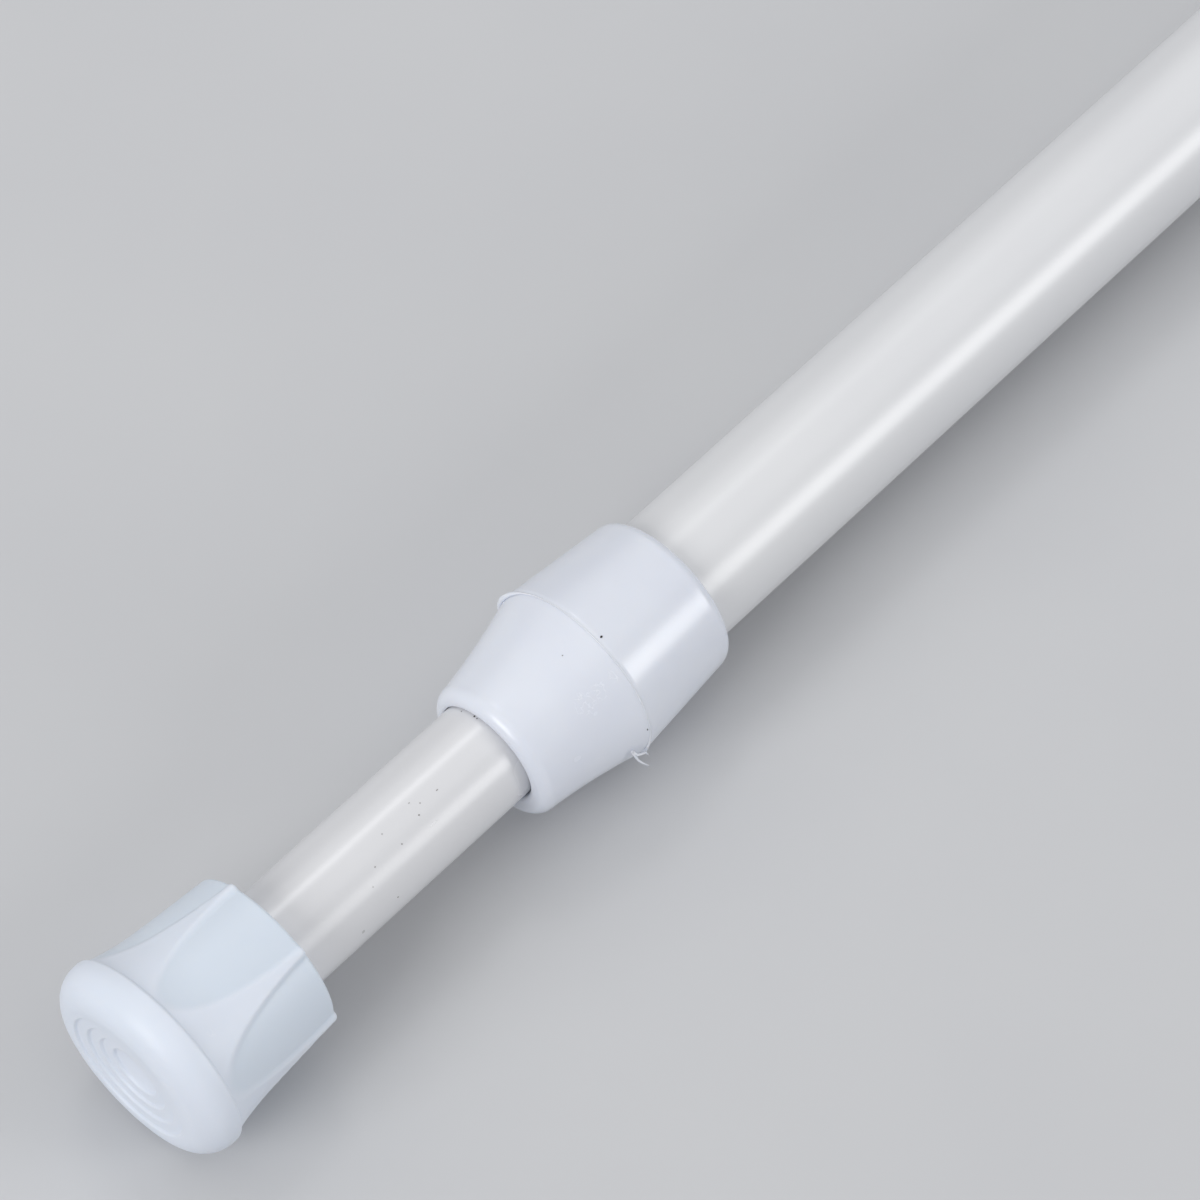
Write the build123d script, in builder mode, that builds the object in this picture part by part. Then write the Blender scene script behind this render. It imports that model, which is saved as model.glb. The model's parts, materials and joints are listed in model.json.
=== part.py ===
from build123d import *
import os
from math import cos, radians, sin

# Telescopic tension rod. X runs along the rod from the outer wall to the inner wall, Z is up.
# The origin is the centre of the outer cap's wall face. All sizes are in millimetres.

# Tubes
outer_tube_diameter = 13.0
outer_tube_wall = 0.5
outer_tube_length = 515.0
inner_tube_diameter = 10.0
inner_tube_wall = 0.5
inner_tube_shorter_by = 15.0
shown_inner_tube = 26.4
crimp_width = 2.4
crimp_depth = 0.3

# End caps: one outer form, with a socket for either tube
cap_length = 16.3
cap_floor = 4.0
cap_mouth_radius = 8.4
cap_neck_radius = 8.77
cap_neck_height = 8.4
flare_slope = 0.33
flange_crease_height = 3.7
flange_radius = 9.9
flange_shoulder = 0.35
flange_round = 2.9
ring_count = 4
ring_radius = 6.5
ring_pitch = 1.3
ring_step = 0.22
ring_slope = 0.12
dish_depth = 0.35
petal_count = 6
petal_angle = 6.0
petal_length = 12.2
petal_half_width = 3.85
petal_mouth_depth = 0.37
petal_neck_depth = 0.17
petal_tip_depth = 0.05
socket_clearance = 0.04

# Collar: a socket half for the outer tube and a cone half, moulded slightly out of line
collar_socket_length = 11.5
collar_cone_length = 11.1
collar_back_radius = 7.45
collar_rim_radius = 8.05
collar_rim_height = 0.9
collar_lip_radius = 8.92
collar_lip_length = 3.0
collar_skirt_radius = 8.75
collar_cone_radius = 8.8
collar_waist_radius = 7.75
collar_throat_radius = 6.9
collar_nose_radius = 6.0
collar_nose_length = 1.1
collar_bore_clearance = 0.3
collar_mismatch = 0.22
collar_mismatch_angle = -22.0

# Plunger, its bush and the spring
stem_side = 4.0
stem_clearance = 0.15
stem_gap = 24.0
bush_length = 12.0
bush_flange_radius = 4.9
bush_flange_thickness = 1.0
tube_insert_clearance = 0.03
head_radius = 4.1
head_thickness = 3.0
head_seat_gap = 0.05
spigot_radius = 2.2
spigot_length = 4.0
spring_washer_thickness = 0.8
spring_washer_clearance = 0.1
spring_length = 46.0
spring_turns = 8
spring_wire_radius = 0.5
spring_wire_sides = 8
spring_outer_radius = 3.9
stop_length = 8.0

# Lock core with its pin, glide bush, cam, washer and screw
hub_radius = 4.8
hub_length = 12.0
core_socket_depth = 9.0
core_socket_clearance = 0.03
pin_radius = 0.8
pin_clearance = 0.03
pin_recess = 0.3
glide_seat_radius = 3.6
glide_length = 8.0
glide_slit = 1.2
running_clearance = 0.05
side_clearance = 0.1
shoulder_thickness = 2.0
eccentricity = 0.5
journal_radius = 2.8
cam_radius = 5.6
cam_length = 10.0
cam_slit = 1.0
cam_edge_chamfer = 0.4
cam_washer_radius = 4.3
cam_washer_thickness = 0.8
screw_radius = 1.2
screw_length = 7.0
screw_clearance = 0.05
screw_head_radius = 2.4
screw_head_height = 1.7
screw_head_round = 0.8
recess_width = 0.55
recess_span = 2.6
recess_depth = 0.8

# Lengths and radii that follow from the sizes above
inner_tube_length = outer_tube_length - inner_tube_shorter_by
outer_tube_radius = outer_tube_diameter / 2
outer_bore_radius = outer_tube_radius - outer_tube_wall
inner_tube_radius = inner_tube_diameter / 2
inner_bore_radius = inner_tube_radius - inner_tube_wall
insert_radius = inner_bore_radius - tube_insert_clearance
land_radius = flange_radius - flange_round
flange_crease_radius = flange_radius - flange_shoulder

# Places along the rod, from the outer wall inwards
outer_tube_start = cap_floor
collar_seat = outer_tube_start + outer_tube_length
collar_back = collar_seat - collar_socket_length
collar_nose = collar_seat + collar_cone_length
inner_face = collar_nose + shown_inner_tube + cap_length
inner_tube_end = inner_face - cap_floor
inner_tube_start = inner_tube_end - inner_tube_length
head_start = inner_tube_start + bush_length + head_seat_gap
head_end = head_start + head_thickness
spring_start = head_end + spring_washer_thickness
spring_end = spring_start + spring_length
stop_end = spring_end + stop_length
core_end = inner_tube_start - bush_flange_thickness - stem_gap
glide_end = core_end - hub_length
glide_start = glide_end - glide_length - 2 * side_clearance
shoulder_start = glide_start - shoulder_thickness
journal_start = shoulder_start - cam_length - 2 * side_clearance
cam_washer_start = journal_start - cam_washer_thickness
bush_crimp = inner_tube_start + bush_length / 2
stop_crimp = spring_end + stop_length / 2


def crimped_line(start, end, radius, crimps, width, depth):
    """Draw a line along the rod at one radius, dipping inwards in an arc at each rolled crimp."""
    reached = start
    for middle in crimps:
        Line((reached, radius), (middle - width / 2, radius))
        ThreePointArc(
            (middle - width / 2, radius),
            (middle, radius - depth),
            (middle + width / 2, radius),
        )
        reached = middle + width / 2
    Line((reached, radius), (end, radius))


def end_cap(face_x, heading, tube_radius):
    """Make a cap with its wall face at face_x and its mouth along heading, +1 or -1 in X."""
    section = Plane(origin=(face_x, 0, 0), x_dir=(heading, 0, 0), z_dir=(0, -heading, 0))
    above = Plane(origin=(face_x, 0, 0), x_dir=(heading, 0, 0), z_dir=(0, 0, 1))
    socket_radius = tube_radius + socket_clearance
    petal_tip_height = cap_length - petal_length
    tip_radius = flange_crease_radius - (petal_tip_height - flange_crease_height) * flare_slope
    clear_radius = 2 * flange_radius

    # One petal: the ring of material above its floor, kept only inside an elliptical arch
    with BuildPart() as petal:
        with BuildSketch(section):
            with BuildLine():
                floor = Line(
                    (cap_length, cap_mouth_radius - petal_mouth_depth),
                    (cap_neck_height, cap_neck_radius - petal_neck_depth),
                )
                tip = TangentArc(
                    floor @ 1,
                    (petal_tip_height, tip_radius - petal_tip_depth),
                    tangent=floor % 1,
                )
                Polyline(tip @ 1, (petal_tip_height, clear_radius), (cap_length, clear_radius), floor @ 0)
            make_face()
        revolve(axis=Axis.X)
        with BuildSketch(above):
            with Locations((cap_length, 0)):
                Ellipse(petal_length, petal_half_width)
        extrude(amount=clear_radius, mode=Mode.INTERSECT)

    with BuildPart() as cap:
        with BuildSketch(section):
            with BuildLine():
                skirt = Line((cap_length, cap_mouth_radius), (cap_neck_height, cap_neck_radius))
                neck = TangentArc(
                    skirt @ 1,
                    (flange_crease_height, flange_crease_radius),
                    tangent=skirt % 1,
                )
                shoulder = CenterArc(
                    (flange_crease_height - flange_shoulder, flange_crease_radius),
                    flange_shoulder,
                    start_angle=0,
                    arc_size=90,
                )
                Line(shoulder @ 1, (flange_round, flange_radius))
                CenterArc((flange_round, land_radius), flange_round, start_angle=90, arc_size=90)
                foot = (0, land_radius)
                for ring in range(ring_count):
                    edge_radius = ring_radius - ring * ring_pitch
                    edge = Line(foot, (ring * ring_step, edge_radius))
                    wall = Line(edge @ 1, ((ring + 1) * ring_step, edge_radius - ring_slope))
                    foot = wall @ 1
                dish = TangentArc(
                    (ring_count * ring_step + dish_depth, 0),
                    foot,
                    tangent=(0, 1),
                )
                Polyline(
                    dish @ 0,
                    (cap_floor, 0),
                    (cap_floor, socket_radius),
                    (cap_length, socket_radius),
                    skirt @ 0,
                )
            make_face()
        revolve(axis=Axis.X)
        for number in range(petal_count):
            turn = -petal_angle - number * 360 / petal_count
            add(petal.part.rotate(Axis.X, turn), mode=Mode.SUBTRACT)
    return cap


def collar_plane(aside):
    """Section plane at the collar's back edge, with its axis moved aside along the mismatch."""
    aside_y = aside * cos(radians(collar_mismatch_angle))
    aside_z = aside * sin(radians(collar_mismatch_angle))
    return Plane(origin=(collar_back, aside_y, aside_z), x_dir=(1, 0, 0), z_dir=(0, -1, 0))


outer_end_cap = end_cap(0, 1, outer_tube_radius)
inner_end_cap = end_cap(inner_face, -1, inner_tube_radius)

# Outer tube, butted against the cap's floor and the collar's step
with BuildPart() as outer_tube:
    with BuildSketch(Plane.YZ.offset(outer_tube_start)):
        Circle(outer_tube_radius)
        Circle(outer_bore_radius, mode=Mode.SUBTRACT)
    extrude(amount=outer_tube_length)

# Collar: a socket half turned about the rod, a lip turned a little aside of it, and a cone half
# turned as far aside the other way
lip_section = collar_plane(-collar_mismatch)
cone_section = collar_plane(collar_mismatch)
collar_length = collar_socket_length + collar_cone_length
throat_height = collar_length - collar_nose_length
lip_start = collar_socket_length - collar_lip_length
skirt_slope = (collar_skirt_radius - collar_rim_radius) / (collar_socket_length - collar_rim_height)
lip_root_radius = collar_skirt_radius - collar_lip_length * skirt_slope - collar_mismatch
collar_socket_radius = outer_tube_radius + socket_clearance
collar_bore_radius = inner_tube_radius + collar_bore_clearance
with BuildPart() as collar:
    with BuildSketch(collar_plane(0)):
        with BuildLine():
            side = Line((collar_socket_length, collar_skirt_radius), (collar_rim_height, collar_rim_radius))
            rim = TangentArc(side @ 1, (0, collar_back_radius), tangent=side % 1)
            Polyline(
                rim @ 1,
                (0, collar_socket_radius),
                (collar_socket_length, collar_socket_radius),
                side @ 0,
            )
        make_face()
    revolve(axis=Axis.X)
    with BuildSketch(lip_section):
        with BuildLine():
            Polyline(
                (lip_start, lip_root_radius),
                (collar_socket_length, collar_lip_radius),
                (collar_socket_length, lip_root_radius),
                close=True,
            )
        make_face()
    revolve(axis=Axis(lip_section.origin, lip_section.x_dir))
    with BuildSketch(cone_section):
        with BuildLine():
            cone = ThreePointArc(
                (collar_socket_length, collar_cone_radius),
                ((collar_socket_length + throat_height) / 2, collar_waist_radius),
                (throat_height, collar_throat_radius),
            )
            nose = TangentArc(cone @ 1, (collar_length, collar_nose_radius), tangent=cone % 1)
            Polyline(
                nose @ 1,
                (collar_length, collar_bore_radius),
                (collar_socket_length, collar_bore_radius),
                cone @ 0,
            )
        make_face()
    revolve(axis=Axis(cone_section.origin, cone_section.x_dir))

# Inner tube, with a rolled crimp over the mouth bush and another over the spring stop
with BuildPart() as inner_tube:
    with BuildSketch(Plane.XZ):
        with BuildLine():
            for radius in (inner_tube_radius, inner_bore_radius):
                crimped_line(
                    inner_tube_start,
                    inner_tube_end,
                    radius,
                    (bush_crimp, stop_crimp),
                    crimp_width,
                    crimp_depth,
                )
            for end in (inner_tube_start, inner_tube_end):
                Line((end, inner_tube_radius), (end, inner_bore_radius))
        make_face()
    revolve(axis=Axis.X)

# Mouth bush: flanged plug with a square hole that keys the plunger's stem to the inner tube
groove_width = crimp_width + 2 * side_clearance
groove_depth = crimp_depth + tube_insert_clearance
with BuildPart() as mouth_bush:
    with BuildSketch(Plane.XZ):
        with BuildLine():
            crimped_line(
                inner_tube_start,
                inner_tube_start + bush_length,
                insert_radius,
                (bush_crimp,),
                groove_width,
                groove_depth,
            )
            Polyline(
                (inner_tube_start, insert_radius),
                (inner_tube_start, bush_flange_radius),
                (inner_tube_start - bush_flange_thickness, bush_flange_radius),
                (inner_tube_start - bush_flange_thickness, 0),
                (inner_tube_start + bush_length, 0),
                (inner_tube_start + bush_length, insert_radius),
            )
        make_face()
    revolve(axis=Axis.X)
    with BuildSketch(Plane.YZ.offset(inner_tube_start - bush_flange_thickness)):
        Rectangle(stem_side + 2 * stem_clearance, stem_side + 2 * stem_clearance)
    extrude(amount=bush_flange_thickness + bush_length, mode=Mode.SUBTRACT)

# Plunger: square stem, round head behind the bush and a spigot that centres the spring
pin_place = core_end - core_socket_depth / 2
with BuildPart() as plunger:
    with BuildSketch(Plane.YZ.offset(core_end - core_socket_depth)):
        Rectangle(stem_side, stem_side)
    extrude(amount=head_start - core_end + core_socket_depth)
    with BuildSketch(Plane.YZ.offset(head_start)):
        Circle(head_radius)
    extrude(amount=head_thickness)
    with BuildSketch(Plane.YZ.offset(head_end)):
        Circle(spigot_radius)
    extrude(amount=spigot_length)
    with BuildSketch(Plane.XZ.offset(-stem_side)):
        with Locations((pin_place, 0)):
            Circle(pin_radius + pin_clearance)
    extrude(amount=2 * stem_side, mode=Mode.SUBTRACT)

with BuildPart() as spring_washer:
    with BuildSketch(Plane.YZ.offset(head_end)):
        Circle(head_radius)
        Circle(spigot_radius + spring_washer_clearance, mode=Mode.SUBTRACT)
    extrude(amount=spring_washer_thickness)

# Spring: a wire, kept to a few plain sides, swept along a helix between the washer and the stop
coil_radius = spring_outer_radius - spring_wire_radius
coil_height = spring_length - 2 * spring_wire_radius
with BuildPart() as spring:
    with BuildLine() as coil:
        Helix(
            pitch=coil_height / spring_turns,
            height=coil_height,
            radius=coil_radius,
            center=(spring_start + spring_wire_radius, 0, 0),
            direction=(1, 0, 0),
        )
    with BuildSketch(Plane(origin=coil.line @ 0, z_dir=coil.line % 0)):
        RegularPolygon(spring_wire_radius, spring_wire_sides)
    sweep(path=coil.line, is_frenet=True)

# Spring stop: a plug under the inner tube's second crimp, with a spigot inside the spring
with BuildPart() as spring_stop:
    with BuildSketch(Plane.XZ):
        with BuildLine():
            crimped_line(spring_end, stop_end, insert_radius, (stop_crimp,), groove_width, groove_depth)
            Polyline(
                (stop_end, insert_radius),
                (stop_end, 0),
                (spring_end - spigot_length, 0),
                (spring_end - spigot_length, spigot_radius),
                (spring_end, spigot_radius),
                (spring_end, insert_radius),
            )
        make_face()
    revolve(axis=Axis.X)

# Lock core: hub with the stem's socket, groove for the glide bush, shoulder and eccentric journal
journal_plane = Plane(origin=(journal_start, 0, eccentricity), x_dir=(0, 1, 0), z_dir=(1, 0, 0))
with BuildPart() as lock_core:
    with BuildSketch(Plane.XZ):
        with BuildLine():
            Polyline(
                (core_end, 0),
                (core_end, hub_radius),
                (glide_end, hub_radius),
                (glide_end, glide_seat_radius),
                (glide_start, glide_seat_radius),
                (glide_start, hub_radius),
                (shoulder_start, hub_radius),
                (shoulder_start, 0),
                close=True,
            )
        make_face()
    revolve(axis=Axis.X)
    with BuildSketch(journal_plane):
        Circle(journal_radius)
    extrude(amount=shoulder_start - journal_start)
    with BuildSketch(Plane.YZ.offset(core_end)):
        Rectangle(stem_side + 2 * core_socket_clearance, stem_side + 2 * core_socket_clearance)
    extrude(amount=-core_socket_depth, mode=Mode.SUBTRACT)
    with BuildSketch(Plane.XZ.offset(-hub_radius)):
        with Locations((pin_place, 0)):
            Circle(pin_radius + pin_clearance)
    extrude(amount=2 * hub_radius, mode=Mode.SUBTRACT)
    with BuildSketch(journal_plane):
        Circle(screw_radius + screw_clearance)
    extrude(amount=screw_length, mode=Mode.SUBTRACT)

with BuildPart() as core_pin:
    with BuildSketch(Plane.XZ.offset(pin_recess - hub_radius)):
        with Locations((pin_place, 0)):
            Circle(pin_radius)
    extrude(amount=2 * (hub_radius - pin_recess))

# Glide bush: split ring in the core's groove, running in the outer tube
with BuildPart() as glide_bush:
    with BuildSketch(Plane.YZ.offset(glide_start + side_clearance)):
        Circle(outer_bore_radius - running_clearance)
        Circle(glide_seat_radius + running_clearance, mode=Mode.SUBTRACT)
        with Locations((0, -outer_bore_radius)):
            Rectangle(glide_slit, 2 * outer_bore_radius, mode=Mode.SUBTRACT)
    extrude(amount=glide_length)

# Lock cam: split ring whose bore sits on the eccentric journal and whose rim is true to the rod
with BuildPart() as lock_cam:
    with BuildSketch(Plane.YZ.offset(journal_start + side_clearance)):
        Circle(cam_radius)
        with Locations((0, eccentricity)):
            Circle(journal_radius + running_clearance, mode=Mode.SUBTRACT)
        with Locations((0, eccentricity + cam_radius)):
            Rectangle(cam_slit, 2 * cam_radius, mode=Mode.SUBTRACT)
    extrude(amount=cam_length)
    rims = lock_cam.edges().filter_by(GeomType.CIRCLE).group_by(SortBy.RADIUS)[-1]
    chamfer(rims, cam_edge_chamfer)

washer_plane = Plane(origin=(cam_washer_start, 0, eccentricity), x_dir=(0, 1, 0), z_dir=(1, 0, 0))
with BuildPart() as cam_washer:
    with BuildSketch(washer_plane):
        Circle(cam_washer_radius)
        Circle(screw_radius + screw_clearance, mode=Mode.SUBTRACT)
    extrude(amount=cam_washer_thickness)

# Cam screw: pan head with a cross recess, its shank in the journal
with BuildPart() as cam_screw:
    with BuildSketch(washer_plane):
        Circle(screw_radius)
    extrude(amount=cam_washer_thickness + screw_length - side_clearance)
    with BuildSketch(washer_plane):
        Circle(screw_head_radius)
    extrude(amount=-screw_head_height)
    fillet(cam_screw.edges().sort_by(Axis.X)[0], screw_head_round)
    with BuildSketch(washer_plane.offset(-screw_head_height)):
        Rectangle(recess_width, recess_span)
        Rectangle(recess_span, recess_width)
    extrude(amount=recess_depth, mode=Mode.SUBTRACT)

pieces = {
    "outer_tube": outer_tube,
    "collar": collar,
    "outer_end_cap": outer_end_cap,
    "inner_tube": inner_tube,
    "inner_end_cap": inner_end_cap,
    "mouth_bush": mouth_bush,
    "plunger": plunger,
    "spring_washer": spring_washer,
    "spring": spring,
    "spring_stop": spring_stop,
    "lock_core": lock_core,
    "core_pin": core_pin,
    "glide_bush": glide_bush,
    "lock_cam": lock_cam,
    "cam_washer": cam_washer,
    "cam_screw": cam_screw,
}
os.makedirs("parts", exist_ok=True)
for label, piece in pieces.items():
    piece.part.label = label
    export_step(piece.part, f"parts/{label}.step")
    print(label, "volume", round(piece.part.volume, 2), "mm3")
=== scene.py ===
# %% [markdown]
# # An extendable shower curtain rod
# The rod is two thin painted steel tubes, one sliding in the other, with a moulded collar where they
# meet and a moulded cap on each end. Every solid comes from the packed CAD model, which this script
# loads as a fixed frame. Blender then gives it what the solids lack: finishes, rounder tubes and softer
# mouldings, a smoothly wound spring, small flaws, a floor, lights and a camera. The first cell loads the
# frame and keeps its box.

# %% Load the frame
import json
import math
import random

import bmesh
import bpy
from mathutils import Matrix, Vector


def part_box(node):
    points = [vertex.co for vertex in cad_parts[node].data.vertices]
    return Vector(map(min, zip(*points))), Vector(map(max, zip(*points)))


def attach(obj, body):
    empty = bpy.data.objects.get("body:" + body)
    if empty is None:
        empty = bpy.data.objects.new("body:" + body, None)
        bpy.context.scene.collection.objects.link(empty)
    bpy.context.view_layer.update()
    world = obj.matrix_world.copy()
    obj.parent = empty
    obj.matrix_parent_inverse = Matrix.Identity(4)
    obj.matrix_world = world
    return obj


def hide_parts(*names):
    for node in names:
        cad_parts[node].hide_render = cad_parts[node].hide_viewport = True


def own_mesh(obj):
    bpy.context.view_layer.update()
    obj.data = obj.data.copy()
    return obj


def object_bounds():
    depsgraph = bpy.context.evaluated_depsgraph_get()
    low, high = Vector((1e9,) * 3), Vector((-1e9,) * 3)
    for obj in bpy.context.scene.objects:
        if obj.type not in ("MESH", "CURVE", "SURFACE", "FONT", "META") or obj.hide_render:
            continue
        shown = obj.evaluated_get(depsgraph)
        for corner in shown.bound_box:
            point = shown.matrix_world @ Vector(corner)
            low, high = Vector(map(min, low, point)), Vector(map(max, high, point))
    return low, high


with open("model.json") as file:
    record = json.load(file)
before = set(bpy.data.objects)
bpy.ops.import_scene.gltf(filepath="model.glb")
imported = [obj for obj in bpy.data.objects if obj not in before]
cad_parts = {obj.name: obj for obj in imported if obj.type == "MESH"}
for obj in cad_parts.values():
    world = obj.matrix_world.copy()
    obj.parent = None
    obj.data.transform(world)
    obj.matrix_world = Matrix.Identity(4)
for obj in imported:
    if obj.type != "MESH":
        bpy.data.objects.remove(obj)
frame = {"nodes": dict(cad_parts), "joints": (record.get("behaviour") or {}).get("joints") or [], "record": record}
cad_low, cad_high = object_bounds()
nodes = frame["nodes"]
scene = bpy.context.scene
scene.view_settings.view_transform = "Standard"
mm = 0.001
print("frame:", len(nodes), "pieces,", round((cad_high.x - cad_low.x) / mm, 1), "mm long")

# %% [markdown]
# ## The camera
# A product photograph of a long thin thing is taken from far off with a long lens, so the tube's sides
# stay nearly parallel. The camera could be placed by eye, but the ellipses of the collar and the cap fix
# it well: it looks down steeply at the inner end, from the side of the cap. It is written as a distance,
# a bearing and an elevation about a point beside the collar, with no roll and no shift.

# %% The camera at the photograph's angle
photo_side = 1200
focal_pixels = 5202
camera_distance = 456.1 * mm
camera_bearing = math.radians(43.365)
camera_elevation = math.radians(58.704)
collar_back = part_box("collar")[0].x
aim = Vector((collar_back + 4.6 * mm, -3.4 * mm, 0))
toward_camera = Vector((
    math.cos(camera_elevation) * math.cos(camera_bearing),
    math.cos(camera_elevation) * math.sin(camera_bearing),
    math.sin(camera_elevation),
))
camera = bpy.data.objects.new("camera", bpy.data.cameras.new("camera"))
scene.collection.objects.link(camera)
camera.data.sensor_width = 36
camera.data.lens = focal_pixels / photo_side * camera.data.sensor_width
camera.data.clip_start = 10 * mm
camera.location = aim + toward_camera * camera_distance
camera.rotation_mode = "QUATERNION"
camera.rotation_quaternion = toward_camera.to_track_quat("Z", "Y")
scene.camera = camera
bpy.context.view_layer.update()
print("camera: lens", round(camera.data.lens, 1), "mm at", [round(v, 3) for v in camera.location])

# %% [markdown]
# ## Finding a place by the photograph
# Specks, scuffs and the moulding flash sit at places that only the photograph gives. A line of sight
# through a pixel, followed until it meets the piece that carries the mark, turns such a pixel into a
# point on the real surface. So a mark lies on its piece from every side, not only from this camera.

# %% A point on a piece, by pixel
def line_of_sight(pixel):
    """The direction from the camera through one pixel of the photograph, one metre deep."""
    across = (pixel[0] - photo_side / 2) / focal_pixels
    rise = (photo_side / 2 - pixel[1]) / focal_pixels
    return camera.matrix_world.to_3x3() @ Vector((across, rise, -1))


def sighted(pixel, piece):
    """The point on a piece that one pixel of the photograph shows, and the surface's normal there."""
    hit, place, normal, _ = piece.ray_cast(camera.location, line_of_sight(pixel).normalized())
    if not hit:
        raise ValueError(f"pixel {pixel} misses {piece.name}")
    return place, normal


def beside(pixel, place, deeper=0.0):
    """The point that one pixel shows, as deep in the picture as a known place or some metres deeper."""
    depth = (camera.location - place).dot(toward_camera) + deeper
    return camera.location + line_of_sight(pixel) * depth


face_pixel = (110, 1070)
face_seen = sighted(face_pixel, nodes["inner_end_cap"])[0]
print("cap's face seen at", [round(v / mm, 1) for v in face_seen], "mm")

# %% [markdown]
# ## Shader sums
# A finish is mostly arithmetic: a noise times a little, a mask by how far a point lies from an edge.
# Wired by hand, each sum is a node and two links. A small class that wraps a socket and answers to
# +, -, * and the comparisons lets a finish be written as the sum that it is, and one method makes
# every other kind of node.

# %% A socket that can be used in sums
class Reading:
    """The value that a socket gives, for use in sums with numbers and other readings."""

    def __init__(self, finish, socket):
        self.finish = finish
        self.socket = socket

    def __add__(self, other):
        return self.finish.sum("ADD", self, other)

    def __sub__(self, other):
        return self.finish.sum("SUBTRACT", self, other)

    def __rsub__(self, other):
        return self.finish.sum("SUBTRACT", other, self)

    def __mul__(self, other):
        return self.finish.sum("MULTIPLY", self, other)

    def __gt__(self, other):
        return self.finish.sum("GREATER_THAN", self, other)

    def __lt__(self, other):
        return self.finish.sum("LESS_THAN", self, other)

    def __abs__(self):
        return self.finish.sum("ABSOLUTE", self)

    __radd__ = __add__
    __rmul__ = __mul__


print("sums: Reading answers to", [n for n in vars(Reading) if n.startswith("__r")])

# %% A finish and its nodes
class Wiring:
    """A node tree that is filled one node or one sum at a time."""

    def __init__(self, tree):
        self.tree = tree

    def node(self, kind, settings=None, sockets=None, output=0):
        """Add a node: its settings first, then the values or links of its sockets."""
        made = self.tree.nodes.new("ShaderNode" + kind)
        for name, value in (settings or {}).items():
            setattr(made, name, value)
        for name, value in (sockets or {}).items():
            self.feed(made.inputs[name], value)
        return Reading(self, made.outputs[output])

    def feed(self, socket, value):
        """Link a reading to a socket, or set the socket to a plain value."""
        if isinstance(value, Reading):
            self.tree.links.new(value.socket, socket)
        else:
            socket.default_value = value

    def sum(self, operation, *terms):
        """A Math node on readings and numbers."""
        return self.node("Math", {"operation": operation}, dict(enumerate(terms)))


class Finish(Wiring):
    """One material, its shader and the patterns that feed it."""

    def __init__(self, name, **shader_values):
        self.material = bpy.data.materials.new(name)
        self.material.use_nodes = True
        super().__init__(self.material.node_tree)
        self.shader = next(n for n in self.tree.nodes if n.type == "BSDF_PRINCIPLED")
        for socket, value in shader_values.items():
            self.shader.inputs[socket.replace("_", " ")].default_value = value

    def place(self):
        """The point's place in the rod's own frame, in metres."""
        return self.node("TexCoord", output="Object")

    def stretched(self, scales):
        """The place with each axis scaled, for patterns that run along the rod."""
        return self.node("VectorMath", {"operation": "MULTIPLY"}, {0: self.place(), 1: scales})

    def noise(self, scale, detail=2.0, where=None):
        """A cloudy value about 0.5, with features one over scale metres apart."""
        sockets = {"Vector": where or self.place(), "Scale": scale, "Detail": detail}
        return self.node("TexNoise", {}, sockets)

    def span(self, value, low, high):
        """Ease a value from low to high into a mask from 0 to 1."""
        sockets = {"Value": value, "From Min": low, "From Max": high}
        return self.node("MapRange", {"interpolation_type": "SMOOTHSTEP"}, sockets)

    def mix(self, share, first, second):
        """A colour between two colours."""
        sockets = {0: share, 6: first, 7: second}
        return self.node("Mix", {"data_type": "RGBA"}, sockets, output=2)

    def away_from(self, place):
        """How far a point lies from a place, in metres."""
        ends = {0: self.place(), 1: place}
        return self.node("VectorMath", {"operation": "DISTANCE"}, ends, output="Value")

    def bump(self, height, distance, strength):
        """A normal from a height between 0 and 1 that stands for a distance in metres."""
        sockets = {"Height": height, "Distance": distance, "Strength": strength}
        return self.node("Bump", {}, sockets)

    def use(self, **readings):
        """Feed the shader's own sockets."""
        for socket, value in readings.items():
            self.feed(self.shader.inputs[socket.replace("_", " ")], value)
        print("finish:", self.material.name, "with", len(self.tree.nodes), "nodes")
        return self.material


def colour(red, green, blue):
    """A shader colour from the 0 to 255 values that a screen shows."""
    def linear(value):
        value = value / 255
        return value / 12.92 if value <= 0.04045 else ((value + 0.055) / 1.055) ** 2.4
    return (linear(red), linear(green), linear(blue), 1.0)


print("tube white as light:", [round(v, 3) for v in colour(224, 225, 228)[:3]])

# %% [markdown]
# ## Satin paint on the tubes
# Thin steel tube for such rods is sprayed or powder coated white and baked. Up close the coat has a
# faint orange peel and some dust baked into it. An even white would look like plastic pipe, and streaks
# along the tube would look brushed. So the colour and the roughness drift a little in patches, a few cells
# of a cell pattern hold a point of dust each, and a fine noise gives the peel. The inner tube has the
# same paint, polished a little by sliding.

# %% Tube paint
def tube_paint(name, white, shade, gloss):
    """Sprayed white paint with slow patches, points of dust and orange peel."""
    paint = Finish(name, Specular_IOR_Level=0.9)
    patches = paint.noise(60, detail=3)
    peel = paint.noise(2600, detail=1)
    dust_size, dust_rarity, dust_strength = 0.09, 0.955, 0.35
    cells_per_metre = 420
    cells = {"Vector": paint.place(), "Scale": cells_per_metre}
    cell_distance = paint.node("TexVoronoi", {}, cells, output="Distance")
    cell_colour = paint.node("TexVoronoi", {}, cells, output="Color")
    cell_number = paint.node("SeparateColor", {}, {0: cell_colour})
    dust = (cell_distance < dust_size) * (cell_number > dust_rarity)
    coat = paint.mix(patches, white, shade)
    return paint.use(
        Base_Color=paint.mix(dust * dust_strength, coat, colour(120, 118, 114)),
        Roughness=gloss + patches * 0.04,
        Normal=paint.bump(peel, 0.01 * mm, 0.25),
    )


outer_paint = tube_paint("outer_paint", colour(226, 227, 229), colour(220, 221, 224), gloss=0.29)
inner_paint = tube_paint("inner_paint", colour(224, 224, 227), colour(217, 218, 221), gloss=0.25)
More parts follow.
